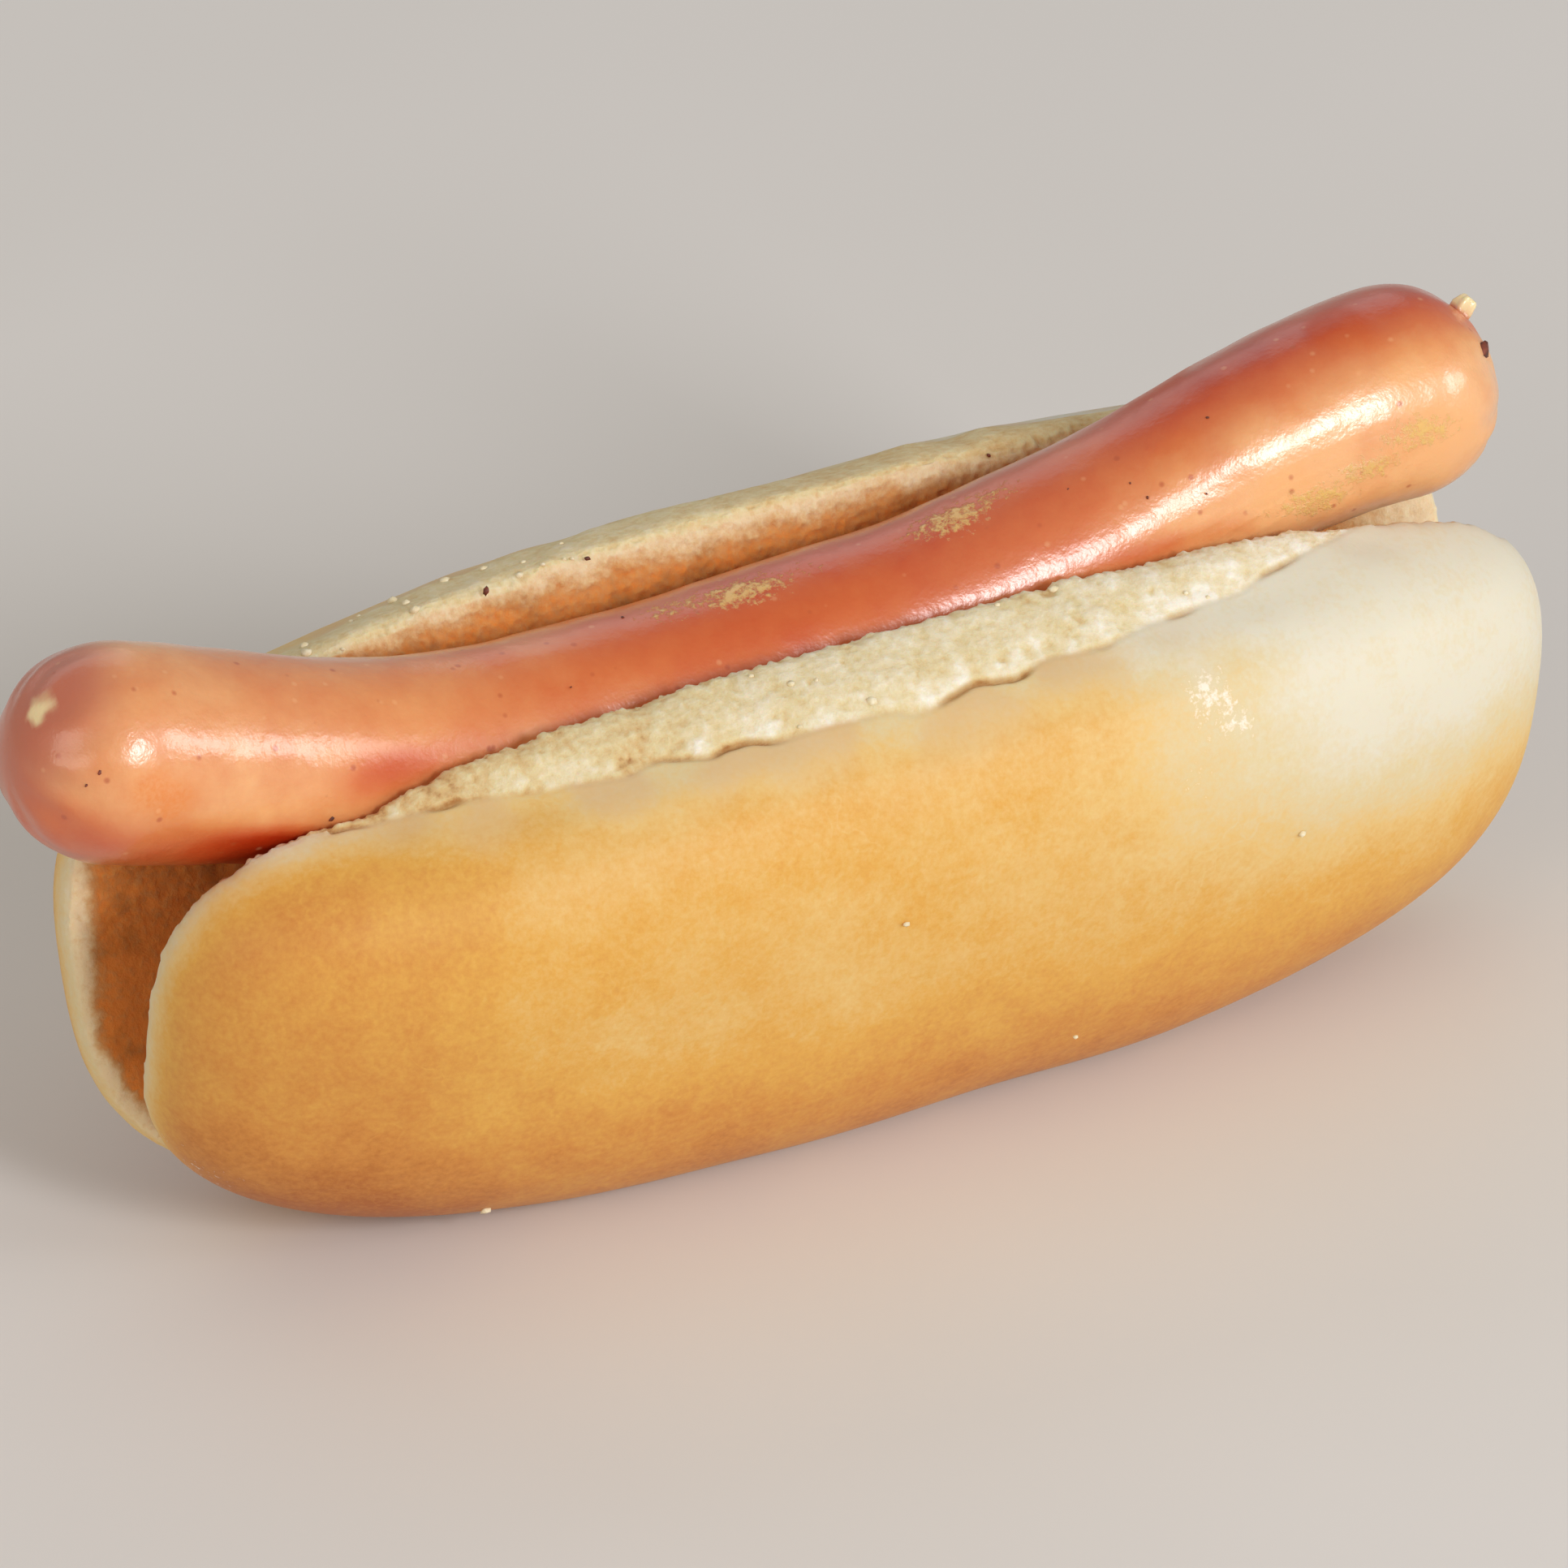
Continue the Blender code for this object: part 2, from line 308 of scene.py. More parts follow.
# Baked bread: matt gold crust with a faint sheen, and open matt crumb that lets a little light in.
# A pattern's scale is in cells to the metre: 95 gives blotches of 10 mm, 330 patches of 3 mm, and
# 1200 to 1500 the pores and the grain, of 0.7 to 0.8 mm.
bread = bpy.data.materials.new("baked white bread, gold crust and torn crumb")
bread.use_nodes = True
tree = bread.node_tree
tree.nodes.clear()
place = add(tree, "TexCoord").outputs["Object"]
torn = add(tree, "Attribute", attribute_name="torn").outputs["Fac"]
cut = add(tree, "Attribute", attribute_name="cut").outputs["Fac"]
crumb = add(tree, "Attribute", attribute_name="crumb").outputs["Fac"]
bake = add(tree, "Attribute", attribute_name="bake").outputs["Fac"]
toast = add(tree, "Attribute", attribute_name="toast").outputs["Fac"]
flour = add(tree, "Attribute", attribute_name="flour").outputs["Fac"]
blotch = add(tree, "TexNoise", {
    "Vector": place, "Scale": 95.0, "Detail": 4.0, "Roughness": 0.6,
}).outputs["Fac"]
patch = add(tree, "TexNoise", {
    "Vector": place, "Scale": 330.0, "Detail": 3.0, "Roughness": 0.5,
}).outputs["Fac"]
grain = add(tree, "TexNoise", {
    "Vector": place, "Scale": 1500.0, "Detail": 3.0, "Roughness": 0.65,
}).outputs["Fac"]
level = add(tree, "MapRange", {"Value": blotch, 1: 0.3, 2: 0.7, 3: -0.07, 4: 0.07}).outputs[0]
mottle = add(tree, "MapRange", {"Value": patch, 1: 0.3, 2: 0.7, 3: -0.03, 4: 0.03}).outputs[0]
speckle = add(tree, "MapRange", {"Value": grain, 1: 0.3, 2: 0.7, 3: -0.06, 4: 0.06}).outputs[0]
baked = add(tree, "Math", {0: bake, 1: level}, operation="ADD").outputs[0]
baked = add(tree, "Math", {0: baked, 1: mottle}, operation="ADD").outputs[0]
baked = add(tree, "Math", {0: baked, 1: speckle}, operation="ADD").outputs[0]
bent = add(tree, "TexNoise", {"Vector": place, "Scale": 260.0, "Detail": 2.0}).outputs["Color"]
bent = add(tree, "VectorMath", {0: bent, 1: (0.010, 0.010, 0.010)}, operation="MULTIPLY").outputs[0]
bent = add(tree, "VectorMath", {0: place, 1: bent}, operation="ADD").outputs[0]
cells = add(tree, "TexVoronoi", {"Vector": bent, "Scale": 120.0}, feature="DISTANCE_TO_EDGE")
veins = add(tree, "MapRange", {
    "Value": cells.outputs["Distance"], 1: 0.0, 2: 0.035, 3: 1.0, 4: 0.0,
}).outputs[0]
vein_patches = add(tree, "MapRange", {"Value": blotch, 1: 0.54, 2: 0.66, 3: 0.0, 4: 0.06}).outputs[0]
veins = add(tree, "Math", {0: veins, 1: vein_patches}, operation="MULTIPLY").outputs[0]
baked = add(tree, "Math", {0: baked, 1: veins}, operation="SUBTRACT").outputs[0]
crust_colour = add(tree, "ValToRGB", {"Fac": baked}, stops=[
    (0.0, "#dfd8c2"), (0.20, "#ddcb9f"), (0.42, "#e2be79"),
    (0.60, "#dda850"), (0.80, "#cf8c42"), (1.0, "#b3672b"),
]).outputs["Color"]
bare = add(tree, "Attribute", attribute_name="bare").outputs["Fac"]
bare = add(tree, "Math", {0: bare, 1: 0.70}, operation="MULTIPLY").outputs[0]
crust_colour = add(tree, "Mix", {
    0: bare, 6: crust_colour, 7: linear("#d9b584"),
}, data_type="RGBA").outputs[2]
dust_limit = add(tree, "MapRange", {"Value": flour, 3: 0.84, 4: 0.42}).outputs[0]
dust = add(tree, "Math", {0: grain, 1: dust_limit}, operation="SUBTRACT").outputs[0]
dust = add(tree, "MapRange", {"Value": dust, 1: 0.0, 2: 0.16, 3: 0.0, 4: 0.85}).outputs[0]
crust_colour = add(tree, "Mix", {
    0: dust, 6: crust_colour, 7: linear("#f4ecdc"),
}, data_type="RGBA").outputs[2]
pores = add(tree, "TexNoise", {
    "Vector": place, "Scale": 1200.0, "Detail": 4.0, "Roughness": 0.65,
}).outputs["Fac"]
cream = add(tree, "MapRange", {"Value": pores, 1: 0.3, 2: 0.7, 3: -0.14, 4: 0.14}).outputs[0]
cream = add(tree, "Math", {0: crumb, 1: cream}, operation="ADD").outputs[0]
# The torn crumb's colour, which carries the painted light and shade of its relief.
crumb_colour = add(tree, "ValToRGB", {"Fac": cream}, stops=[
    (0.0, "#ab733d"), (0.25, "#d8b780"), (0.5, "#e2cf9f"), (0.8, "#ebdfc0"), (1.0, "#f3ecda"),
]).outputs["Color"]
fuzz = add(tree, "MapRange", {"Value": pores, 1: 0.3, 2: 0.7, 3: 0.18, 4: -0.18}).outputs[0]
# Brown of the cut faces: partly browned crumb, partly painted shade inside the cut.
browned = add(tree, "Math", {0: toast, 1: fuzz}, operation="ADD").outputs[0]
cut_colour = add(tree, "ValToRGB", {"Fac": browned}, stops=[
    (0.0, "#e6d0a8"), (0.3, "#dab685"), (0.6, "#cd955c"), (0.85, "#d48b48"), (1.0, "#df8a3e"),
]).outputs["Color"]
pits = add(tree, "MapRange", {"Value": patch, 1: 0.34, 2: 0.52, 3: 0.80, 4: 1.04}).outputs[0]
cut_colour = add(tree, "Mix", {
    0: toast, 6: cut_colour, 7: pits,
}, data_type="RGBA", blend_type="MULTIPLY").outputs[2]
colour = add(tree, "Mix", {0: cut, 6: crust_colour, 7: cut_colour}, data_type="RGBA").outputs[2]
colour = add(tree, "Mix", {0: torn, 6: colour, 7: crumb_colour}, data_type="RGBA").outputs[2]
# Painted shade in the crease between the crust and the torn crumb.
crack = add(tree, "Attribute", attribute_name="crack").outputs["Fac"]
crack = add(tree, "Math", {0: crack, 1: 0.6}, operation="MULTIPLY").outputs[0]
colour = add(tree, "Mix", {0: crack, 6: colour, 7: linear("#b07c40")}, data_type="RGBA").outputs[2]
open_crumb = add(tree, "Math", {0: torn, 1: cut}, operation="MAXIMUM").outputs[0]
roughness = add(tree, "MapRange", {"Value": open_crumb, 3: 0.50, 4: 0.95}).outputs[0]
skin_bump = add(tree, "Bump", {"Height": grain, "Strength": 0.10, "Distance": 0.0003}).outputs[0]
skin_bump = add(tree, "Bump", {
    "Height": patch, "Strength": 0.10, "Distance": 0.0008, "Normal": skin_bump,
}).outputs[0]
crumb_height = add(tree, "Math", {0: pores, 1: open_crumb}, operation="MULTIPLY").outputs[0]
crumb_bump = add(tree, "Bump", {
    "Height": crumb_height, "Strength": 0.36, "Distance": 0.0006, "Normal": skin_bump,
}).outputs[0]
shader = add(tree, "BsdfPrincipled", {
    "Base Color": colour, "Roughness": roughness, "Normal": crumb_bump, "IOR": 1.45,
    "Subsurface Weight": 0.40, "Subsurface Radius": (0.004, 0.0024, 0.0014), "Subsurface Scale": 0.7,
    "Specular IOR Level": 0.30, "Sheen Weight": 0.03, "Sheen Roughness": 0.5,
})
add(tree, "OutputMaterial", {"Surface": shader.outputs[0]})
bun_mesh.materials.clear()
bun_mesh.materials.append(bread)
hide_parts("bun")
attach(bun, "root")

# The sausage: smooth cured meat in a tight thin casing, cooked until the casing shines. Its
# colour is redder and darker on top, partly browning and partly painted shade where the light
# grazes it, with painted shade where it meets the near lip and underneath. It is bent, fuller at
# both ends, and the tied stub of casing is at the right.
SAUSAGE_RADIUS = 0.0092
END_SWELL = 0.00106
HALF_SPAN = 0.0747
SAUSAGE_X = -0.00002
SAUSAGE_Y = 0.000836
LIFT = -0.00135756              # from the heights below to the surface that the roll stands on
AXIS_HEIGHTS = (0.0575, 0.0512, 0.0455, 0.0438, 0.0442, 0.0455, 0.0491, 0.0541, 0.0547)
KNOT_RADIUS = 0.0012
KNOT_LENGTH = 0.0040
KNOT_PITCH = math.radians(42)
SLOW_LUMPS = 0.00032            # broad unevenness of the meat
QUICK_LUMPS = 0.00011           # unevenness of a few millimetres, which breaks up the gleams
PUCKER = 0.00013                # folds of the casing where it is gathered at each end
CREASING = 0.00010              # fine creases low on the right, along the sausage
DRY_PATCHES = (                 # share along, degrees from the top to the front, size, strength
    (-0.110, 0, 0.0058, 0.8), (-0.030, 4, 0.0062, 1.0), (0.270, 4, 0.0064, 1.0), (0.335, 0, 0.0040, 0.8),
    (0.690, 98, 0.0056, 1.0), (0.765, 92, 0.0048, 0.9), (0.840, 80, 0.0050, 1.0), (0.060, 2, 0.0040, 0.6),
)
LEFT_EYE = (-0.0721, -0.0004, 0.0600)       # dry end of the casing at the left tip
LEFT_EYE_SIZE = 0.0014
LEFT_CAP_AIM = (-0.70, 0.33, 0.63)          # the darker, duller side of the left end
AMBER_PATCH = ((-0.878, 83), (-0.850, 88))  # small orange stain: share along, degrees
AMBER_SIZE = 0.0019
# The painted shade where the sausage meets the near lip is this wide.
CONTACT_SHADE_WIDTH = (0.0036, 0.0026)            # deep red where it meets the near lip: left, right
ROOM = 0.00035                  # how far the crumb gives way around the sausage
ROOM_END = 0.93                 # share along, past which the sausage stands clear of the roll


def sausage_axis(share):
    """A point of the sausage's axis, smooth through the evenly spaced AXIS_HEIGHTS."""
    last = len(AXIS_HEIGHTS) - 1
    along = (share + 1.0) / 2 * last
    i = max(0, min(last - 1, int(along)))
    f = along - i
    a, b = AXIS_HEIGHTS[i], AXIS_HEIGHTS[i + 1]
    slope_a = (b - AXIS_HEIGHTS[i - 1]) / 2 if i > 0 else b - a
    slope_b = (AXIS_HEIGHTS[i + 2] - a) / 2 if i + 2 <= last else b - a
    bend = f * (1 - f) * ((1 - f) * (slope_a - b + a) - f * (slope_b - b + a))
    return Vector((SAUSAGE_X + share * HALF_SPAN, SAUSAGE_Y, a + (b - a) * f + bend + LIFT))


def sausage_point(share, degrees, extra=0.0):
    """A point of the casing at a share along and an angle from the top towards the front."""
    cap = (SAUSAGE_RADIUS + END_SWELL) / HALF_SPAN
    swell = SAUSAGE_RADIUS + END_SWELL * math.sin(abs(share) * math.pi / 2) ** 10
    past = max(0.0, (abs(share) - 1.0 + cap) / cap)
    radius = swell * math.sqrt(max(0.0, 1.0 - past ** 2)) + extra
    ahead = sausage_axis(share + 0.01) - sausage_axis(share - 0.01)
    ahead.normalize()
    above = Vector((-ahead.z, 0.0, ahead.x))
    angle = math.radians(degrees)
    forward = Vector((0, -math.sin(angle) * radius, 0))
    return sausage_axis(share) + forward + above * math.cos(angle) * radius


shape = bmesh.new()
bmesh.ops.create_uvsphere(shape, u_segments=104, v_segments=230, radius=1.0)
bmesh.ops.rotate(shape, verts=shape.verts, matrix=Matrix.Rotation(math.pi / 2, 3, "Y"))
for vert in shape.verts:
    share, across, up = vert.co
    degrees = math.degrees(math.atan2(-across, up))
    base = sausage_point(share, degrees)
    tip = smoothstep(0.90, 0.985, abs(share))
    lump = (SLOW_LUMPS * noise.noise(base * 70) + QUICK_LUMPS * noise.noise(base * 230)) * (1 - tip)
    folds = math.sin(math.radians(degrees) * 11 + 3 * noise.noise(base * 200)) * PUCKER
    folds *= smoothstep(0.90, 0.97, abs(share)) * smoothstep(1.0, 0.975, abs(share))
    creases = math.sin(math.radians(degrees) * 34 + 5 * noise.noise(base * 60)) * CREASING
    creases *= smoothstep(0.42, 0.60, share) * smoothstep(0.86, 0.74, share)
    creases *= math.exp(-((degrees - 84) / 16) ** 2)
    centre = sausage_axis(share)
    outward = (base - centre).normalized() if (base - centre).length > 1e-6 else Vector((0, 0, 0))
    vert.co = base + outward * (lump + folds + creases)
sausage_mesh = bpy.data.meshes.new("sausage_casing")
shape.to_mesh(sausage_mesh)
shape.free()
link = bpy.data.objects.new("sausage_casing", sausage_mesh)
bpy.context.scene.collection.objects.link(link)

shape = bmesh.new()
bmesh.ops.create_cone(
    shape, cap_ends=True, segments=20, depth=KNOT_LENGTH,
    radius1=KNOT_RADIUS * 1.05, radius2=KNOT_RADIUS * 0.85,
)
rims = [edge for edge in shape.edges if any(len(f.verts) > 4 for f in edge.link_faces)]
bmesh.ops.bevel(shape, geom=rims, offset=0.0004, segments=3, profile=0.5, affect="EDGES", material=-1)
bmesh.ops.triangulate(shape, faces=[f for f in shape.faces if len(f.verts) > 4])
bmesh.ops.subdivide_edges(shape, edges=shape.edges, cuts=3, use_grid_fill=True)
end_radius = SAUSAGE_RADIUS + END_SWELL
knot_centre = sausage_axis(1 - end_radius / HALF_SPAN)
aim = Vector((math.cos(KNOT_PITCH), 0, math.sin(KNOT_PITCH)))
turn = Vector((0, 0, 1)).rotation_difference(aim).to_matrix()
for vert in shape.verts:
    around = math.atan2(vert.co.y, vert.co.x)
    pleats = 0.00012 * math.sin(around * 5 + vert.co.z * 900) + 0.00016 * noise.noise(vert.co * 700)
    bulge = 1.0 + 0.14 * math.sin(vert.co.z * 2200)
    vert.co = Vector((vert.co.x * bulge, vert.co.y * bulge * 0.8, vert.co.z))
    vert.co += Vector((vert.co.x, vert.co.y, 0)).normalized() * pleats
    vert.co = knot_centre + aim * (end_radius - 0.10 * KNOT_LENGTH) + turn @ vert.co
knot_mesh = bpy.data.meshes.new("knot")
shape.to_mesh(knot_mesh)
shape.free()
knot = bpy.data.objects.new("knot", knot_mesh)
bpy.context.scene.collection.objects.link(knot)
union = link.modifiers.new("fuse", "BOOLEAN")
union.operation = "UNION"
union.solver = "EXACT"
union.object = knot
evaluated = link.evaluated_get(bpy.context.evaluated_depsgraph_get())
sausage_mesh = bpy.data.meshes.new_from_object(evaluated)
link.modifiers.clear()
link.data = sausage_mesh
bpy.data.objects.remove(knot)

red = []
dry = []
stub = []
cap = []
amber = []
wet = []
left_centre = sausage_axis(-1 + end_radius / HALF_SPAN)
cap_aim = Vector(LEFT_CAP_AIM).normalized()
for vert in sausage_mesh.vertices:
    share = (vert.co.x - SAUSAGE_X) / HALF_SPAN
    centre = sausage_axis(max(-1.0, min(1.0, share)))
    degrees = math.degrees(math.atan2(-(vert.co.y - centre.y), vert.co.z - centre.z))
    right = smoothstep(0.35, 0.65, share)
    top = math.exp(-((degrees + 5) / (46 - 18 * right)) ** 2)
    level = 0.14 + 0.28 * math.exp(-((share - 0.05) / 0.38) ** 2)
    # Redder on top: partly browning, partly painted shade where the light grazes the top.
    browning_and_top_shade = 0.14 + 0.16 * smoothstep(-0.5, 0.0, share) + 0.44 * right
    level += browning_and_top_shade * top * smoothstep(-0.9, -0.4, share)
    # Painted shade: a deep red band along the near lip, and the underside.
    lip = lip_height(-1, vert.co.x)
    lip_y = HINGE_Y - lip * math.sin(LEAN[-1])
    lip_z = HINGE_Z + lip * math.cos(LEAN[-1])
    from_lip = math.hypot(vert.co.y - lip_y, vert.co.z - lip_z)
    width = CONTACT_SHADE_WIDTH[0] + (CONTACT_SHADE_WIDTH[1] - CONTACT_SHADE_WIDTH[0]) * smoothstep(-0.1, 0.35, share)
    contact_shade = smoothstep(width, 0.0006, from_lip) * smoothstep(-0.66, -0.52, share)
    contact_shade = max(contact_shade, smoothstep(100, 118, degrees))
    contact_shade *= smoothstep(-0.86, -0.70, share) * smoothstep(0.66, 0.45, share)
    drier = smoothstep(-0.68, -0.52, share) * smoothstep(0.22, 0.08, share) * smoothstep(5, 30, degrees)
    broken = right * smoothstep(0.10, -0.20, noise.noise(vert.co * 150))
    wet.append((1.0 - 0.85 * contact_shade) * (1.0 - 0.70 * drier) * (1.0 - 0.75 * broken))
    # Deep red painted shade at the lip and underneath, and darker red low on the left end.
    level += 0.75 * contact_shade + 0.25 * (degrees < -60)
    level += 0.40 * smoothstep(90, 124, degrees) * smoothstep(-0.3, -0.6, share)
    level -= 0.19 * right * smoothstep(20, 75, degrees)
    level -= 0.12 * smoothstep(0.90, 0.98, share)
    red.append(max(0.0, min(1.0, level)))
    stain = 0.0
    for along, around in AMBER_PATCH:
        gap = vert.co - sausage_point(along, around)
        stain = max(stain, math.exp(-(gap.length / AMBER_SIZE) ** 2))
    amber.append(min(1.0, 1.6 * stain))
    cover = 0.0
    for along, around, size, strength in DRY_PATCHES:
        gap = vert.co - sausage_point(along, around)
        cover = max(cover, strength * math.exp(-(gap.x / size) ** 2 - (gap.yz.length / (size * 0.42)) ** 2))
    dry.append(cover)
    from_knot = (vert.co - knot_centre).dot(aim) - end_radius
    from_eye = (vert.co - Vector(LEFT_EYE)).length / LEFT_EYE_SIZE
    on_eye = smoothstep(1.25, 0.45, from_eye + 0.6 * noise.noise(vert.co * 800))
    stub.append(max(smoothstep(-0.0002, 0.0006, from_knot), on_eye))
    from_left = (vert.co - left_centre).normalized()
    cap.append(smoothstep(0.25, 0.85, from_left.dot(cap_aim)) * smoothstep(-0.80, -0.92, share))
masks = {"red": red, "dry": dry, "stub": stub, "cap": cap, "amber": amber, "wet": wet}
for name, values in masks.items():
    sausage_mesh.attributes.new(name, "FLOAT", "POINT").data.foreach_set("value", values)
for polygon in sausage_mesh.polygons:
    polygon.use_smooth = True

# The sausage lies in the soft crumb, which gives way to it by a hair.
for vert in bun_mesh.vertices:
    share = (vert.co.x - SAUSAGE_X) / HALF_SPAN
    if abs(share) < 1.0:
        axis = sausage_axis(share)
        gap = Vector((0, vert.co.y - axis.y, vert.co.z - axis.z))
        room = SAUSAGE_RADIUS + END_SWELL * math.sin(abs(share) * math.pi / 2) ** 10 + ROOM
        if gap.length < room and share < ROOM_END:
            vert.co = Vector((vert.co.x, axis.y, axis.z)) + gap.normalized() * room

# Cooked casing: glossy and slightly uneven, so highlights break up, over pink translucent meat.
# It is wet and bright at both ends, and drier in the middle and where it meets the near lip.
casing = bpy.data.materials.new("cooked sausage casing, glossy")
casing.use_nodes = True
tree = casing.node_tree
tree.nodes.clear()
place = add(tree, "TexCoord").outputs["Object"]
red_and_shade_level = add(tree, "Attribute", attribute_name="red").outputs["Fac"]
dry_level = add(tree, "Attribute", attribute_name="dry").outputs["Fac"]
stub_level = add(tree, "Attribute", attribute_name="stub").outputs["Fac"]
cap_level = add(tree, "Attribute", attribute_name="cap").outputs["Fac"]
blotch = add(tree, "TexNoise", {
    "Vector": place, "Scale": 130.0, "Detail": 5.0, "Roughness": 0.6,
}).outputs["Fac"]
fine = add(tree, "TexNoise", {
    "Vector": place, "Scale": 2400.0, "Detail": 2.0, "Roughness": 0.6,
}).outputs["Fac"]
wave = add(tree, "MapRange", {"Value": blotch, 1: 0.3, 2: 0.7, 3: -0.11, 4: 0.11}).outputs[0]
level = add(tree, "Math", {0: red_and_shade_level, 1: wave}, operation="ADD").outputs[0]
# The meat's colour follows the red level, which carries painted shade on top, along the lip and underneath.
meat_colour = add(tree, "ValToRGB", {"Fac": level}, stops=[
    (0.0, "#ecb076"), (0.18, "#e0955c"), (0.42, "#d3713c"), (0.7, "#c65122"), (1.0, "#ad2e0a"),
]).outputs["Color"]
meat_colour = add(tree, "Mix", {
    0: cap_level, 6: meat_colour, 7: linear("#c26b4c"),
}, data_type="RGBA").outputs[2]
amber_level = add(tree, "Attribute", attribute_name="amber").outputs["Fac"]
stained = add(tree, "Math", {0: amber_level, 1: fine}, operation="MULTIPLY").outputs[0]
meat_colour = add(tree, "Mix", {
    0: stained, 6: meat_colour, 7: linear("#e27d1c"),
}, data_type="RGBA").outputs[2]
# Specks of spice and fat under the casing, a third of a millimetre to half a millimetre across.
spice = add(tree, "TexVoronoi", {"Vector": place, "Scale": 420.0}, feature="F1")
spice_dot = add(tree, "MapRange", {
    "Value": spice.outputs["Distance"], 1: 0.07, 2: 0.16, 3: 1.0, 4: 0.0,
}).outputs[0]
spice_here = add(tree, "SeparateColor", {"Color": spice.outputs["Color"]}).outputs[0]
spice_here = add(tree, "Math", {0: spice_here, 1: 0.50}, operation="GREATER_THAN").outputs[0]
spice_dot = add(tree, "Math", {0: spice_dot, 1: spice_here}, operation="MULTIPLY").outputs[0]
spice_dot = add(tree, "Math", {0: spice_dot, 1: 0.65}, operation="MULTIPLY").outputs[0]
meat_colour = add(tree, "Mix", {
    0: spice_dot, 6: meat_colour, 7: linear("#b5512a"),
}, data_type="RGBA").outputs[2]
fat = add(tree, "TexVoronoi", {"Vector": place, "Scale": 560.0}, feature="F1")
fat_dot = add(tree, "MapRange", {
    "Value": fat.outputs["Distance"], 1: 0.08, 2: 0.2, 3: 1.0, 4: 0.0,
}).outputs[0]
fat_here = add(tree, "SeparateColor", {"Color": fat.outputs["Color"]}).outputs[1]
fat_here = add(tree, "Math", {0: fat_here, 1: 0.78}, operation="GREATER_THAN").outputs[0]
fat_dot = add(tree, "Math", {0: fat_dot, 1: fat_here}, operation="MULTIPLY").outputs[0]
fat_dot = add(tree, "Math", {0: fat_dot, 1: 0.25}, operation="MULTIPLY").outputs[0]
meat_colour = add(tree, "Mix", {
    0: fat_dot, 6: meat_colour, 7: linear("#f2c08a"),
}, data_type="RGBA").outputs[2]
flake = add(tree, "TexNoise", {
    "Vector": place, "Scale": 1400.0, "Detail": 4.0, "Roughness": 0.7,
}).outputs["Fac"]
flake_limit = add(tree, "MapRange", {"Value": dry_level, 1: 0.0, 2: 1.0, 3: 0.78, 4: 0.35}).outputs[0]
over = add(tree, "Math", {0: flake, 1: flake_limit}, operation="SUBTRACT").outputs[0]
cover = add(tree, "MapRange", {"Value": over, 1: 0.0, 2: 0.16, 3: 0.0, 4: 0.90}).outputs[0]
colour = add(tree, "Mix", {0: cover, 6: meat_colour, 7: linear("#e2b768")}, data_type="RGBA").outputs[2]
colour = add(tree, "Mix", {0: stub_level, 6: colour, 7: linear("#efd7a2")}, data_type="RGBA").outputs[2]
dull = add(tree, "Math", {0: cover, 1: cap_level}, operation="MAXIMUM").outputs[0]
dull = add(tree, "Math", {0: dull, 1: stub_level}, operation="MAXIMUM").outputs[0]
rough_wave = add(tree, "MapRange", {"Value": blotch, 1: 0.3, 2: 0.7, 3: 0.30, 4: 0.44}).outputs[0]
roughness = add(tree, "Mix", {0: dull, 2: rough_wave, 3: 0.55}, data_type="FLOAT").outputs[0]
bump = add(tree, "Bump", {"Height": fine, "Strength": 0.12, "Distance": 0.0002}).outputs[0]
pebble = add(tree, "TexNoise", {
    "Vector": place, "Scale": 520.0, "Detail": 3.0, "Roughness": 0.55,
}).outputs["Fac"]
bump = add(tree, "Bump", {
    "Height": pebble, "Strength": 0.14, "Distance": 0.0006, "Normal": bump,
}).outputs[0]
bump = add(tree, "Bump", {"Height": cover, "Strength": 0.5, "Distance": 0.0002, "Normal": bump}).outputs[0]
wet_level = add(tree, "Attribute", attribute_name="wet").outputs["Fac"]
shader = add(tree, "BsdfPrincipled", {
    "Base Color": colour, "Roughness": roughness, "Normal": bump, "Coat Normal": bump, "IOR": 1.40,
    "Subsurface Weight": 0.30, "Subsurface Radius": (0.006, 0.002, 0.001), "Subsurface Scale": 0.5,
    "Coat Weight": wet_level, "Coat Roughness": 0.24, "Coat IOR": 1.55,
})
add(tree, "OutputMaterial", {"Surface": shader.outputs[0]})
sausage_mesh.materials.clear()
sausage_mesh.materials.append(casing)
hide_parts("sausage")
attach(link, "root")

# Crumbs: small torn bits of the roll's own white crumb, dry and matt, which cling along the
# torn lips where the roll was pulled off its neighbours. A few have fallen on the crust.
CRUMBS_NEAR = 9
CRUMBS_FAR = 18
CRUMB_SIZE = (0.00024, 0.00062)
LOOSE_CRUMBS = (                # middle, radius
    ((0.0417, -0.0246, 0.0265), 0.00040), ((0.0001, -0.0265, 0.0304), 0.00034),
    ((-0.0366, -0.0141, 0.0039), 0.00055), ((0.0180, -0.0250, 0.0120), 0.00028),
)
random.seed(11)


def add_crumb(shape, centre, radius, seed):
    """One uneven bit of crumb."""
    made = bmesh.ops.create_icosphere(shape, subdivisions=1, radius=1.0)["verts"]
    for vert in made:
        bump = 1.0 + 0.5 * noise.noise(vert.co * 1.6 + Vector((seed, 0, 0)))
        flat = Vector((vert.co.x, vert.co.y * 0.8, vert.co.z * 0.7))
        vert.co = centre + flat * bump * radius


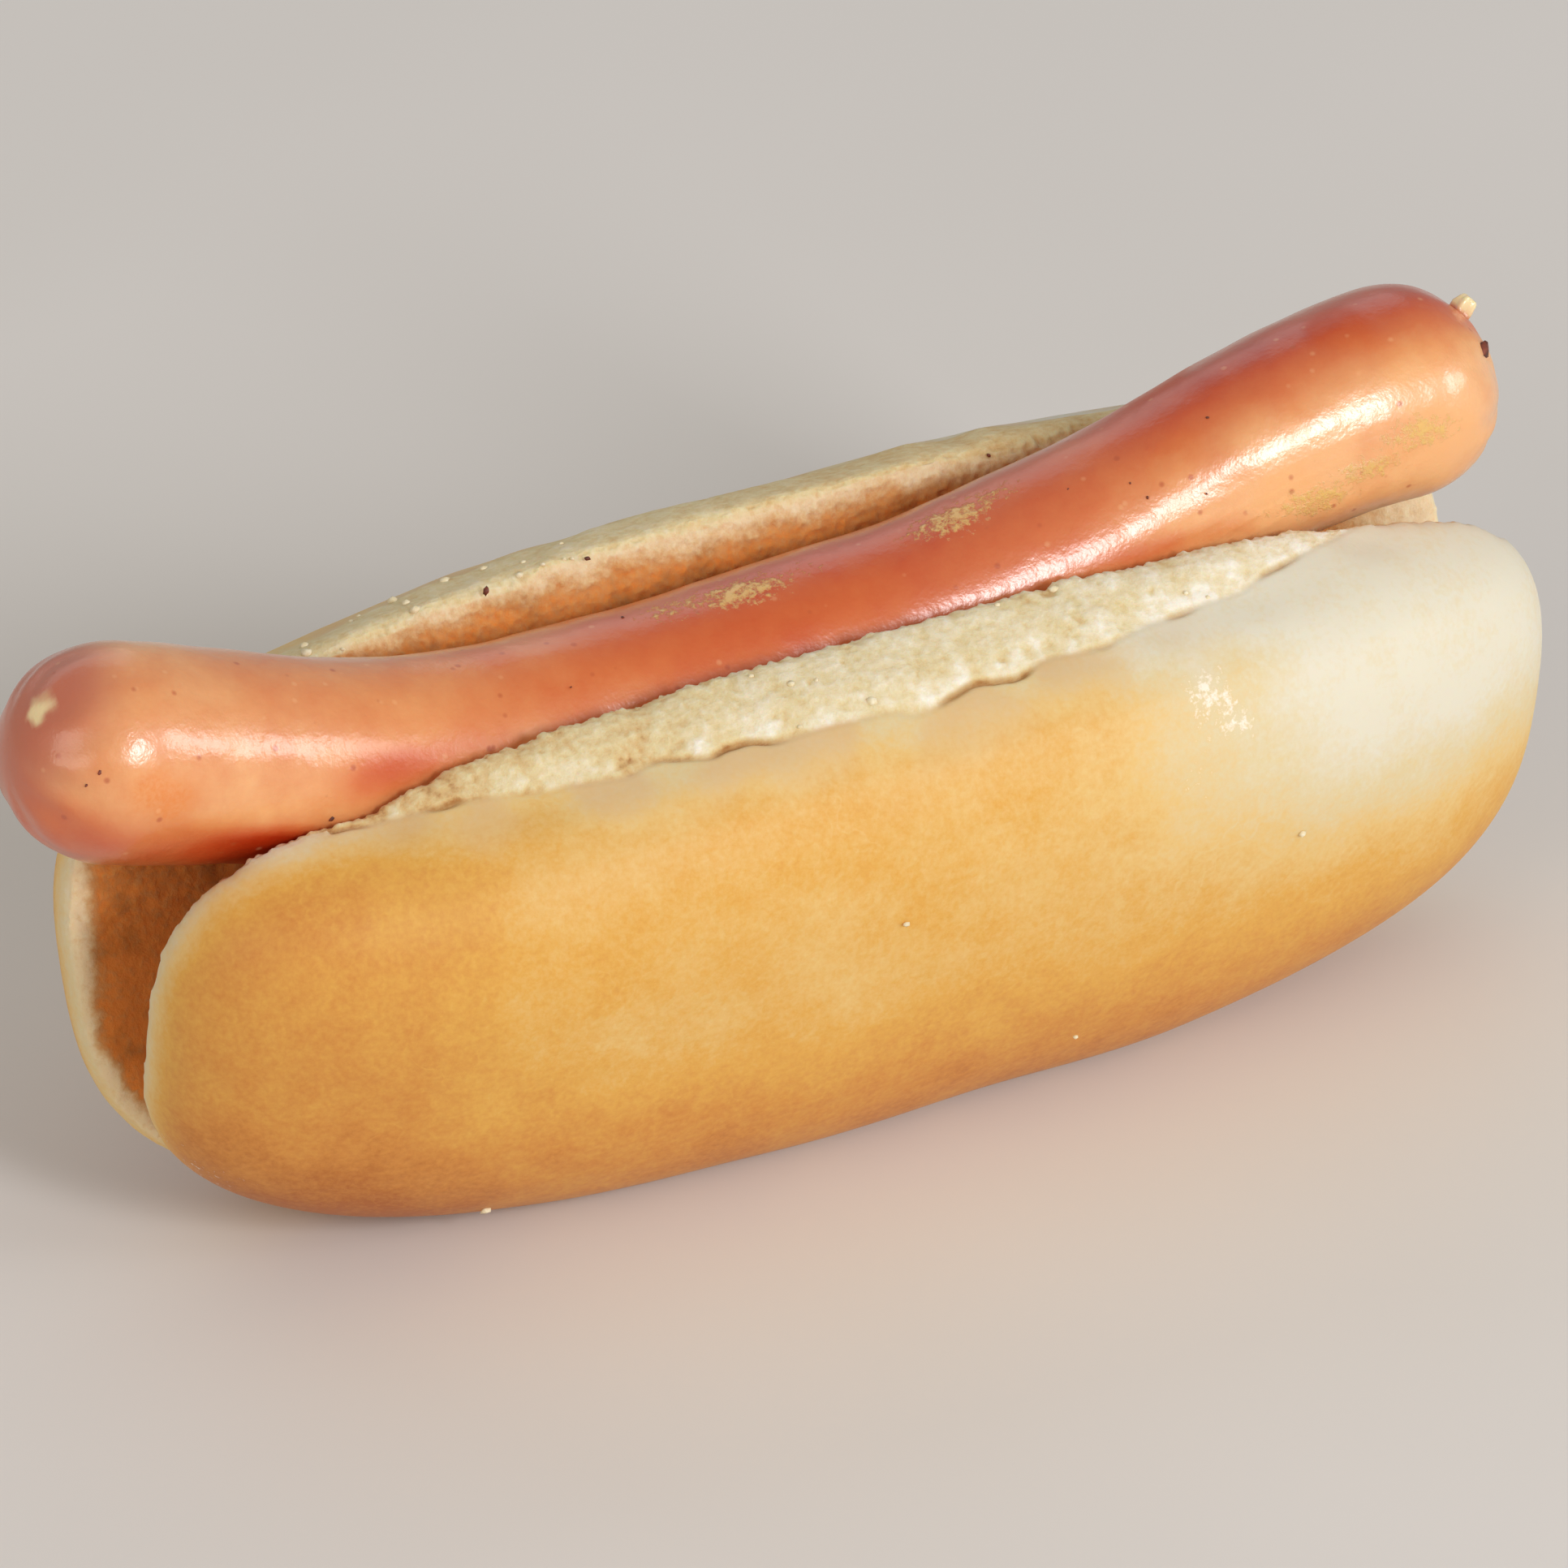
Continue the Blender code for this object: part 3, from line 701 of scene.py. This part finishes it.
torn_places = {-1: [], 1: []}
for vert, share in zip(bun_mesh.vertices, torn_mask):
    side, out, height = half_place(vert.co)
    if share > 0.6:
        near_rim = out < 0.0012 or torn_edge(side, vert.co.x) - out < 0.0016
        left_part = side < 0 or -0.048 < vert.co.x < -0.012
        if left_part and (near_rim or random.random() < 0.25):
            torn_places[side].append((vert.co.copy(), vert.normal.copy()))
shape = bmesh.new()
for side, count in ((-1, CRUMBS_NEAR), (1, CRUMBS_FAR)):
    for place, normal in random.sample(torn_places[side], count):
        radius = random.uniform(0, 1) ** 2 * (CRUMB_SIZE[1] - CRUMB_SIZE[0]) + CRUMB_SIZE[0]
        add_crumb(shape, place + normal * radius * 0.1, radius, random.uniform(0, 90))
for place, radius in LOOSE_CRUMBS:
    add_crumb(shape, Vector(place), radius, radius * 90000)
crumb_mesh = bpy.data.meshes.new("torn_crumbs")
shape.to_mesh(crumb_mesh)
shape.free()
crumbs = bpy.data.objects.new("torn_crumbs", crumb_mesh)
bpy.context.scene.collection.objects.link(crumbs)
for polygon in crumb_mesh.polygons:
    polygon.use_smooth = True
white_crumb = bpy.data.materials.new("dry white bread crumb, matt")
white_crumb.use_nodes = True
tree = white_crumb.node_tree
tree.nodes.clear()
place = add(tree, "TexCoord").outputs["Object"]
pores = add(tree, "TexNoise", {"Vector": place, "Scale": 2500.0, "Detail": 2.0}).outputs["Fac"]
tint = add(tree, "ValToRGB", {"Fac": pores}, stops=[(0.3, "#e0cfa4"), (0.7, "#efe5c8")]).outputs["Color"]
bump = add(tree, "Bump", {"Height": pores, "Strength": 0.4, "Distance": 0.0002}).outputs[0]
shader = add(tree, "BsdfPrincipled", {
    "Base Color": tint, "Roughness": 0.95, "Normal": bump, "Specular IOR Level": 0.2,
})
add(tree, "OutputMaterial", {"Surface": shader.outputs[0]})
crumb_mesh.materials.append(white_crumb)
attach(crumbs, "root")

# Flecks: burnt crumbs and grains of pepper, dark, hard and dull, on the roll and on the sausage,
# and a small dark mark on the fold of casing beside the tied end.
ROLL_FLECKS = (                 # middle, length
    ((-0.0226, 0.0117, 0.0516), 0.00085), ((-0.0123, 0.0118, 0.0520), 0.00060),
    ((0.0290, 0.0122, 0.0510), 0.00050),
)
ROLL_FLECK_FACING = Vector((0, -0.9, 0.3))
ROLL_FLECK_SHAPE = Vector((0.5, 0.32, 0.3))     # half sizes for a length of one
CASING_FLECK_SHAPE = Vector((0.5, 0.36, 0.2))
CASING_FLECKS = (               # share along, degrees from the top to the front, length
    (-0.183, -6, 0.00042), (-0.636, 97, 0.00060), (-0.940, 76, 0.00050), (-0.950, 86, 0.00034),
    (0.62, 22, 0.00034), (0.50, 46, 0.00032), (0.49, 34, 0.00024), (0.57, 60, 0.00026),
    (-0.30, 36, 0.00024), (0.42, 20, 0.00024),
)
FOLD_PLACE = Vector((0.0719, -0.0038, 0.0584))
FOLD_SIZE = Vector((0.00110, 0.00070, 0.00036))
FOLD_FACING = Vector((0.45, -0.70, 0.55))


def add_fleck(shape, centre, normal, size, seed):
    """A flat uneven grain lying on a surface with that normal."""
    made = bmesh.ops.create_icosphere(shape, subdivisions=2, radius=1.0)["verts"]
    lie = Vector((0, 0, 1)).rotation_difference(normal).to_matrix() @ Matrix.Rotation(seed, 3, "Z")
    for vert in made:
        bump = 1.0 + 0.4 * noise.noise(vert.co * 1.5 + Vector((seed, 0, 0)))
        vert.co = centre + lie @ Vector((vert.co.x * size.x, vert.co.y * size.y, vert.co.z * size.z)) * bump


shape = bmesh.new()
for place, length in ROLL_FLECKS:
    add_fleck(shape, Vector(place), ROLL_FLECK_FACING, ROLL_FLECK_SHAPE * length, length * 5000)
for along, around, length in CASING_FLECKS:
    place = sausage_point(along, around)
    normal = (place - sausage_axis(along)).normalized()
    add_fleck(shape, place, normal, CASING_FLECK_SHAPE * length, along * 9)
add_fleck(shape, FOLD_PLACE, FOLD_FACING, FOLD_SIZE, 0.9)
fleck_mesh = bpy.data.meshes.new("dark_flecks")
shape.to_mesh(fleck_mesh)
shape.free()
flecks = bpy.data.objects.new("dark_flecks", fleck_mesh)
bpy.context.scene.collection.objects.link(flecks)
for polygon in fleck_mesh.polygons:
    polygon.use_smooth = True
burnt = bpy.data.materials.new("burnt crumb and pepper, dull")
burnt.use_nodes = True
tree = burnt.node_tree
tree.nodes.clear()
place = add(tree, "TexCoord").outputs["Object"]
soot = add(tree, "TexNoise", {"Vector": place, "Scale": 1800.0, "Detail": 2.0}).outputs["Fac"]
tint = add(tree, "ValToRGB", {"Fac": soot}, stops=[(0.35, "#4a2214"), (0.65, "#843c24")]).outputs["Color"]
bump = add(tree, "Bump", {"Height": soot, "Strength": 0.4, "Distance": 0.0002}).outputs[0]
shader = add(tree, "BsdfPrincipled", {"Base Color": tint, "Roughness": 0.55, "Normal": bump})
add(tree, "OutputMaterial", {"Surface": shader.outputs[0]})
fleck_mesh.materials.append(burnt)
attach(flecks, "root")

# The floor: a plain pale board that the roll stands on, matt and faintly uneven.
shape = bmesh.new()
bmesh.ops.create_grid(shape, x_segments=4, y_segments=4, size=2.5)
bmesh.ops.translate(shape, verts=shape.verts, vec=(0, 0, -0.0001))
floor_mesh = bpy.data.meshes.new("studio_floor")
shape.to_mesh(floor_mesh)
shape.free()
floor = bpy.data.objects.new("studio_floor", floor_mesh)
bpy.context.scene.collection.objects.link(floor)
board = bpy.data.materials.new("pale painted board, matt")
board.use_nodes = True
tree = board.node_tree
tree.nodes.clear()
place = add(tree, "TexCoord").outputs["Object"]
cloud = add(tree, "TexNoise", {"Vector": place, "Scale": 6.0, "Detail": 3.0}).outputs["Fac"]
paint = add(tree, "ValToRGB", {"Fac": cloud}, stops=[(0.3, "#dcd8d2"), (0.7, "#e2ded9")]).outputs["Color"]
shader = add(tree, "BsdfPrincipled", {"Base Color": paint, "Roughness": 0.85})
add(tree, "OutputMaterial", {"Surface": shader.outputs[0]})
floor_mesh.materials.append(board)

# Light: one broad soft light from the front and a little to the right, two lower ones further
# right for the other gleams on the casing, a wide weak one that fills the left, and an even
# pale surround.
LIGHTS = (                      # name, towards the light, distance, width, height, power, colour
    ("key", (0.17, -0.87, 0.48), 1.6, 0.30, 0.42, 11.2, "#fcfbff"),
    ("window", (0.66, -0.67, 0.34), 1.6, 0.30, 0.54, 5.6, "#f8faff"),
    ("side", (0.86, -0.46, 0.26), 1.3, 0.24, 0.24, 1.4, "#fffdfa"),
    ("left fill", (-0.85, -0.40, 0.42), 1.5, 1.00, 0.80, 5.4, "#fff6ea"),
    ("back", (0.05, 0.80, 0.60), 1.5, 1.60, 0.80, 2.6, "#fbfbff"),
)
for name, towards, distance, width, height, power, tint in LIGHTS:
    lamp = bpy.data.lights.new(name, "AREA")
    lamp.shape = "RECTANGLE"
    lamp.size = width
    lamp.size_y = height
    lamp.energy = power
    lamp.color = linear(tint)[:3]
    holder = bpy.data.objects.new(name, lamp)
    bpy.context.scene.collection.objects.link(holder)
    towards = Vector(towards).normalized()
    holder.location = towards * distance + Vector((0, 0, 0.03))
    holder.rotation_euler = (-towards).to_track_quat("-Z", "Y").to_euler()
world = bpy.data.worlds.new("even pale surround")
world.use_nodes = True
world.node_tree.nodes["Background"].inputs["Color"].default_value = linear("#f3f0ec")
world.node_tree.nodes["Background"].inputs["Strength"].default_value = 0.42
bpy.context.scene.world = world

# The camera: a long lens from the front left, looking down at about 32 degrees.
CAMERA_PLACE = Vector((-0.49823, -1.00193, 0.72721))
CAMERA_TARGET = Vector((0.02529, 0.04808, -0.00309))
CAMERA_ROLL = math.radians(-1.0)
SENSOR = 36.0
FOCAL_PIXELS = 17818            # focal length in pixels of the 1932 pixel frame
camera = bpy.data.cameras.new("camera")
camera.sensor_width = SENSOR
camera.lens = FOCAL_PIXELS / 1932 * SENSOR
camera.clip_start = 0.05
viewer = bpy.data.objects.new("camera", camera)
bpy.context.scene.collection.objects.link(viewer)
viewer.location = CAMERA_PLACE
facing = (CAMERA_TARGET - CAMERA_PLACE).to_track_quat("-Z", "Y").to_matrix()
viewer.rotation_euler = (facing @ Matrix.Rotation(CAMERA_ROLL, 3, "Z")).to_euler()
bpy.context.scene.camera = viewer
bpy.context.scene.view_settings.view_transform = "Standard"
